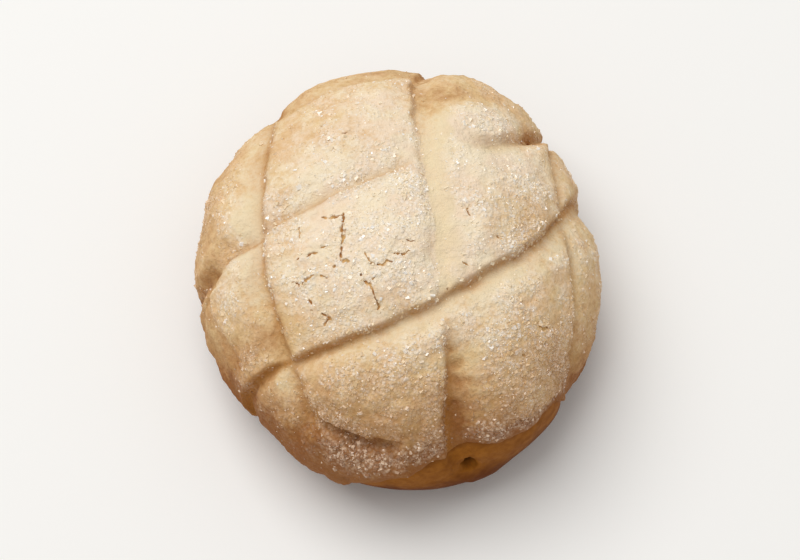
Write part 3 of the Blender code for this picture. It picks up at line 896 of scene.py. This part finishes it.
def random_turns(count):
    """Random rotation matrices, from random quaternions."""
    q = rng.normal(size=(count, 4))
    w, x, y, z = (q / np.linalg.norm(q, axis=1, keepdims=True)).T
    rows = (
        (1 - 2 * (y * y + z * z), 2 * (x * y - z * w), 2 * (x * z + y * w)),
        (2 * (x * y + z * w), 1 - 2 * (x * x + z * z), 2 * (y * z - x * w)),
        (2 * (x * z - y * w), 2 * (y * z + x * w), 1 - 2 * (x * x + y * y)),
    )
    return np.array(rows).transpose(2, 0, 1)


def strewn_spots(sugar, crust):
    """Random spots on the crust, more where its frost is thicker, with their normals and the crust's
    brownness there, baked colour with painted shade.
    """
    corners, places = triangles_of(crust)
    a, b, c = (places[corners[:, k]] for k in range(3))
    cross = np.cross(b - a, c - a)
    area = np.linalg.norm(cross, axis=1) / 2
    normals = cross / np.maximum(2 * area, 1e-15)[:, None]
    keys = ("frost", "crack", "toast_and_shade")
    frost, crack, toast_and_shade = (values_of(crust, key)[corners].mean(axis=1) for key in keys)
    upward = ease(normals[:, 2] * 2 + 0.6)
    weight = area * (frost**1.5 + sugar.even * frost) * (1 - crack) * upward
    chosen = rng.choice(len(area), size=sugar.count, p=weight / weight.sum())
    u, v = rng.random((2, sugar.count))
    flip = u + v > 1
    u, v = np.where(flip, 1 - u, u), np.where(flip, 1 - v, v)
    spots = a[chosen] + u[:, None] * (b - a)[chosen] + v[:, None] * (c - a)[chosen]
    return spots, normals[chosen], toast_and_shade[chosen]


def strew(sugar, crust):
    """Scatters one size of crystal over the crust as one joined mesh of broken cubes."""
    spots, normals, toast_and_shade = strewn_spots(sugar, crust)
    size = sugar.smallest + (sugar.largest - sugar.smallest) * rng.random(sugar.count) ** 2
    shape = CUBE_CORNERS * rng.uniform(0.6, 1.0, (sugar.count, 1, 3))
    shape = shape + rng.normal(scale=SUGAR_UNEVEN, size=shape.shape)
    shape = np.einsum("nij,nkj->nki", random_turns(sugar.count), shape) * size[:, None, None]
    shape = shape + (spots - normals * (SUGAR_SUNK * size)[:, None])[:, None, :]
    faces = CUBE_FACES + len(CUBE_CORNERS) * np.arange(sugar.count)[:, None, None]
    mesh = bpy.data.meshes.new(sugar.name)
    mesh.from_pydata(shape.reshape(-1, 3).tolist(), [], faces.reshape(-1, 4).tolist())
    values = {"tone": rng.random(sugar.count), "toast_and_shade": toast_and_shade}
    keep_values(mesh, {key: np.repeat(numbers, len(CUBE_CORNERS)) for key, numbers in values.items()})
    return add_object(sugar.name, mesh)


class Nodes:
    """A material's node tree, with short calls for the nodes used here."""

    def __init__(self, name):
        self.material = bpy.data.materials.new(name)
        self.material.use_nodes = True
        self.tree = self.material.node_tree
        self.shader = self.tree.nodes["Principled BSDF"]

    def feed(self, socket, value):
        """Sets a socket to a number or a colour, or links another node's output to it."""
        if isinstance(value, (int, float)):
            socket.default_value = value
        elif isinstance(value, tuple):
            socket.default_value = (*value, 1.0)
        else:
            self.tree.links.new(value, socket)

    def add(self, kind, inputs=(), **settings):
        """A new node with its settings, and with its input sockets, by name or number, fed."""
        node = self.tree.nodes.new("ShaderNode" + kind)
        for key, value in settings.items():
            setattr(node, key, value)
        for key, value in dict(inputs).items():
            self.feed(node.inputs[key], value)
        return node

    def attribute(self, name):
        return self.add("Attribute", attribute_name=name).outputs["Fac"]

    def place(self):
        return self.add("TexCoord").outputs["Object"]

    def noise(self, spacing, detail=2.0, roughness=0.5):
        inputs = {"Scale": 1 / spacing, "Detail": detail, "Roughness": roughness, "Vector": self.place()}
        return self.add("TexNoise", inputs).outputs["Fac"]

    def grains(self, spacing):
        """Distance from the middle of the nearest grain, in spacings."""
        inputs = {"Scale": 1 / spacing, "Vector": self.place()}
        return self.add("TexVoronoi", inputs).outputs["Distance"]

    def span(self, value, low, high, to_low=0.0, to_high=1.0):
        """A smooth step that goes from to_low to to_high as the value goes from low to high."""
        inputs = {"Value": value, "From Min": low, "From Max": high, "To Min": to_low, "To Max": to_high}
        return self.add("MapRange", inputs, interpolation_type="SMOOTHSTEP").outputs["Result"]

    def math(self, operation, a, b):
        return self.add("Math", {0: a, 1: b}, operation=operation).outputs["Value"]

    def mix(self, factor, a, b, blend="MIX"):
        """The colour a, or b where the factor is 1."""
        inputs = {"Factor": factor, 6: a, 7: b}
        return self.add("Mix", inputs, data_type="RGBA", blend_type=blend).outputs[2]

    def bump(self, height, distance, strength, after=None):
        inputs = {"Distance": distance, "Strength": strength, "Height": height}
        if after:
            inputs["Normal"] = after
        return self.add("Bump", inputs).outputs["Normal"]

    def finish(self, colour, roughness, specular, normal=None):
        """Feeds the shader and gives the material."""
        self.feed(self.shader.inputs["Base Color"], colour)
        self.feed(self.shader.inputs["Roughness"], roughness)
        self.feed(self.shader.inputs["Specular IOR Level"], specular)
        if normal:
            self.feed(self.shader.inputs["Normal"], normal)
        return self.material


def from_screen(red, green, blue):
    """A linear colour from the 0 to 255 values that a screen shows."""
    shares = (value / 255 for value in (red, green, blue))
    return tuple(s / 12.92 if s <= 0.04045 else ((s + 0.055) / 1.055) ** 2.4 for s in shares)


# The darker dough colours also serve as painted shade on the front, at the scores' feet and in the hollows
DOUGH_PALE = from_screen(246, 228, 196)
DOUGH_GOLD = from_screen(228, 194, 142)
DOUGH_TAN = from_screen(192, 147, 94)
DOUGH_BROWN = from_screen(150, 96, 46)
DOUGH_ROSY = from_screen(252, 238, 242)  # multiplies the dough's colour in patches
BAND_PALE = from_screen(232, 211, 169)
# the scores' feet: baked brown with painted shade in the crease
FOOT_BROWN = from_screen(174, 112, 34)
FOOT_STRENGTH = 0.85
CRACK_TAN = from_screen(214, 172, 112)
CRACK_BROWN = from_screen(166, 112, 58)
BREAD_GOLD = from_screen(165, 102, 30)
# also painted as shade under the crust's edge and towards the base
BREAD_BROWN = from_screen(106, 54, 12)
# painted shade: the inside of the open bubble
BREAD_HOLE_SHADE = from_screen(40, 12, 2)
SUGAR_WHITE = from_screen(255, 250, 242)
SUGAR_WARM = from_screen(240, 210, 180)
FLOOR_PALE = from_screen(250, 249, 246)
FLOOR_SHADE = from_screen(249, 248, 245)


def dough_colour(n, toast_and_shade):
    """The crust's colour for how brown it is, from its baking and from the shade painted on it."""
    colour = n.mix(n.span(toast_and_shade, 0, 0.38), DOUGH_PALE, DOUGH_GOLD)
    colour = n.mix(n.span(toast_and_shade, 0.3, 0.7), colour, DOUGH_TAN)
    return n.mix(n.span(toast_and_shade, 0.65, 1), colour, DOUGH_BROWN)


def sugar_colour(n, toast_and_shade):
    """White on pale dough, and warmer where the brown crust shows through it."""
    return n.mix(n.span(toast_and_shade, 0.15, 0.6), SUGAR_WHITE, SUGAR_WARM)


def crust_colour(n, speckle, grains):
    """Mottled dough, with its bare bands, the baked brown and painted shade at the walls' feet, melted
    sugar and open cracks laid over it.
    """
    toast_and_shade = n.math("ADD", n.attribute("toast_and_shade"), n.span(n.noise(3.5 * MM, 3, 0.6), 0.3, 0.7, -0.07, 0.07))
    toast_and_shade = n.math("ADD", toast_and_shade, n.span(speckle, 0.3, 0.65, 0.08, -0.06))
    rosy = n.span(n.noise(6 * MM), 0.35, 0.65, 0, 0.5)
    colour = n.mix(rosy, dough_colour(n, toast_and_shade), DOUGH_ROSY, "MULTIPLY")
    band = n.math("MULTIPLY", n.attribute("bare"), n.span(toast_and_shade, 0, 0.5, 0.6, 0))
    colour = n.mix(band, colour, BAND_PALE)
    # the walls' feet: baked brown with painted shade in the crease
    colour = n.mix(n.math("MULTIPLY", n.attribute("foot"), FOOT_STRENGTH), colour, FOOT_BROWN)
    melted = n.math("MULTIPLY", n.attribute("frost"), n.span(grains, 0.15, 0.75, 0.95, 0.1))
    colour = n.mix(melted, colour, sugar_colour(n, toast_and_shade))
    opened = n.mix(n.span(n.noise(4 * MM, 3), 0.42, 0.58), CRACK_TAN, CRACK_BROWN)
    return n.mix(n.attribute("crack"), colour, opened)


def crust_material():
    n = Nodes("cookie_crust_baked")
    frost = n.attribute("frost")
    speckle = n.noise(1.3 * MM, 3, 0.65)
    grains = n.grains(0.95 * MM)
    sandy = n.math("MULTIPLY", n.span(frost, 0, 0.5, 0.25, 1), n.span(grains, 0, 0.8, 1, 0))
    rough = n.bump(n.noise(0.45 * MM, 2, 0.6), 0.15 * MM, 0.6)
    rough = n.bump(sandy, 0.26 * MM, 0.7, after=rough)
    rough = n.bump(speckle, 0.75 * MM, 0.7, after=rough)
    return n.finish(crust_colour(n, speckle, grains), n.span(frost, 0, 0.8, 0.75, 0.45), 0.2, rough)


def bread_material():
    """Golden brown and darker downwards, partly baked colour and partly painted shade, with painted shade
    along the crust's edge and in the bubble.
    """
    n = Nodes("bread_crust_baked")
    mottle = n.noise(8 * MM, 3, 0.6)
    streaks = n.noise(1.6 * MM, 4, 0.6)
    below = n.attribute("below")
    # darker downwards: partly baked colour, partly painted shade towards the base
    toast_and_shade = n.math("ADD", n.span(below, 0.05, 0.35, 0, 0.9), n.span(mottle, 0.3, 0.7, -0.12, 0.4))
    colour = n.mix(n.span(toast_and_shade, 0, 1), BREAD_GOLD, BREAD_BROWN)
    colour = n.mix(n.span(streaks, 0.3, 0.7, 0.4, 0), colour, BREAD_BROWN)
    # painted shadow under the crust's rim
    colour = n.mix(n.span(below, 0, 0.04, 0.45, 0), colour, BREAD_BROWN)
    # painted shade inside the open bubble
    colour = n.mix(n.span(n.attribute("hole"), 0.1, 0.6), colour, BREAD_HOLE_SHADE)
    return n.finish(colour, n.span(streaks, 0.3, 0.7, 0.6, 0.48), 0.05, n.bump(streaks, 0.2 * MM, 0.4))


def sugar_material():
    """Each crystal has its own tone, from the dough's colour to clear white."""
    n = Nodes("sugar_crystal")
    tone, toast_and_shade = n.attribute("tone"), n.attribute("toast_and_shade")
    clear = n.span(n.math("POWER", tone, 3), 0, 1, 0.05, 1)
    colour = n.mix(clear, dough_colour(n, toast_and_shade), sugar_colour(n, toast_and_shade))
    return n.finish(colour, n.span(tone, 0, 1, 0.35, 0.12), 1)


def floor_material():
    n = Nodes("floor_pale")
    return n.finish(n.mix(n.noise(0.4, 2), FLOOR_PALE, FLOOR_SHADE), 0.9, 0.1)


FLOOR_SIZE = 4.0
CAMERA_ELEVATION = 65  # degrees
CAMERA_DISTANCE = 420 * MM
CAMERA_TARGET = (0.92 * MM, -4.99 * MM, 22 * MM)
CAMERA_LENS = 76.745  # millimetres
CAMERA_SENSOR = 36  # millimetres
KEY_PLACE = (-0.7, 0.7, 2.0)
KEY_SIZE = 2.0
KEY_WATTS = 36
STUDIO_COLOUR = (1.0, 0.99, 0.98)
STUDIO_STRENGTH = 0.45


def make_floor():
    mesh = bpy.data.meshes.new("floor")
    bm = bmesh.new()
    bmesh.ops.create_grid(bm, x_segments=1, y_segments=1, size=FLOOR_SIZE)
    bm.to_mesh(mesh)
    bm.free()
    floor = add_object("floor", mesh)
    floor.data.materials.append(floor_material())


def make_camera():
    """Looks down at the bun from the front."""
    up = math.radians(CAMERA_ELEVATION)
    data = bpy.data.cameras.new("camera")
    data.lens = CAMERA_LENS
    data.sensor_width = CAMERA_SENSOR
    data.clip_start = 0.01
    camera = add_object("camera", data)
    x, y, z = CAMERA_TARGET
    camera.location = (x, y - CAMERA_DISTANCE * math.cos(up), z + CAMERA_DISTANCE * math.sin(up))
    camera.rotation_euler = (math.pi / 2 - up, 0, 0)
    bpy.context.scene.camera = camera


def make_light():
    """One large soft light from behind on the left, and an even pale studio round the bun."""
    data = bpy.data.lights.new("key", "AREA")
    data.size = KEY_SIZE
    data.energy = KEY_WATTS
    light = add_object("key", data)
    light.location = KEY_PLACE
    towards = -light.location.normalized()
    light.rotation_euler = towards.to_track_quat("-Z", "Y").to_euler()
    world = bpy.data.worlds.new("studio")
    world.use_nodes = True
    background = world.node_tree.nodes["Background"].inputs
    background["Color"].default_value = (*STUDIO_COLOUR, 1.0)
    background["Strength"].default_value = STUDIO_STRENGTH
    bpy.context.scene.world = world
    bpy.context.scene.view_settings.view_transform = "Standard"


def main():
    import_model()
    make_camera()
    make_light()
    make_floor()

    crust = make_crust()
    crust.data.materials.append(crust_material())
    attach(crust, "root")
    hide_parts("cookie_crust")

    bread = make_bread()
    bread.data.materials.append(bread_material())
    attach(bread, "root")
    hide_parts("bread")

    crystal = sugar_material()
    for sugar in SUGARS:
        strewn = strew(sugar, crust)
        strewn.data.materials.append(crystal)
        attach(strewn, "root")


main()
